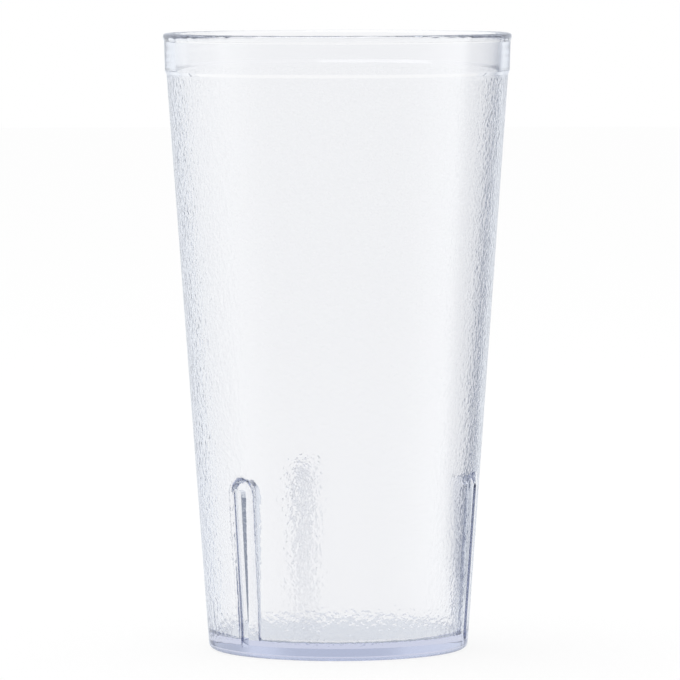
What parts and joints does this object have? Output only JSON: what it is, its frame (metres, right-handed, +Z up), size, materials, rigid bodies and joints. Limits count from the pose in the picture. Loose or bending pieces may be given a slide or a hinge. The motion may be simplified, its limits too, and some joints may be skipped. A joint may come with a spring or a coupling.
{
  "type": "plastic tumbler",
  "caption": "Clear stacking drinking tumbler with a pebbled conical wall, a smooth rim band and upright stacking grooves above the foot.",
  "frame": {"origin": "centre of the foot, at the level of the table", "axes": "+Z up along the tumbler's axis to the rim; -Y towards the front; one stacking groove lies midway between -X and -Y"},
  "size_m": [0.088, 0.088, 0.1558],
  "materials": {
    "clear_plastic": "clear and faintly blue, polished inside, at the rim band and in the grooves, pebbled on the rest of the outside"
  },
  "bodies": {
    "root": {"tumbler": "clear_plastic"}
  },
  "joints": []
}
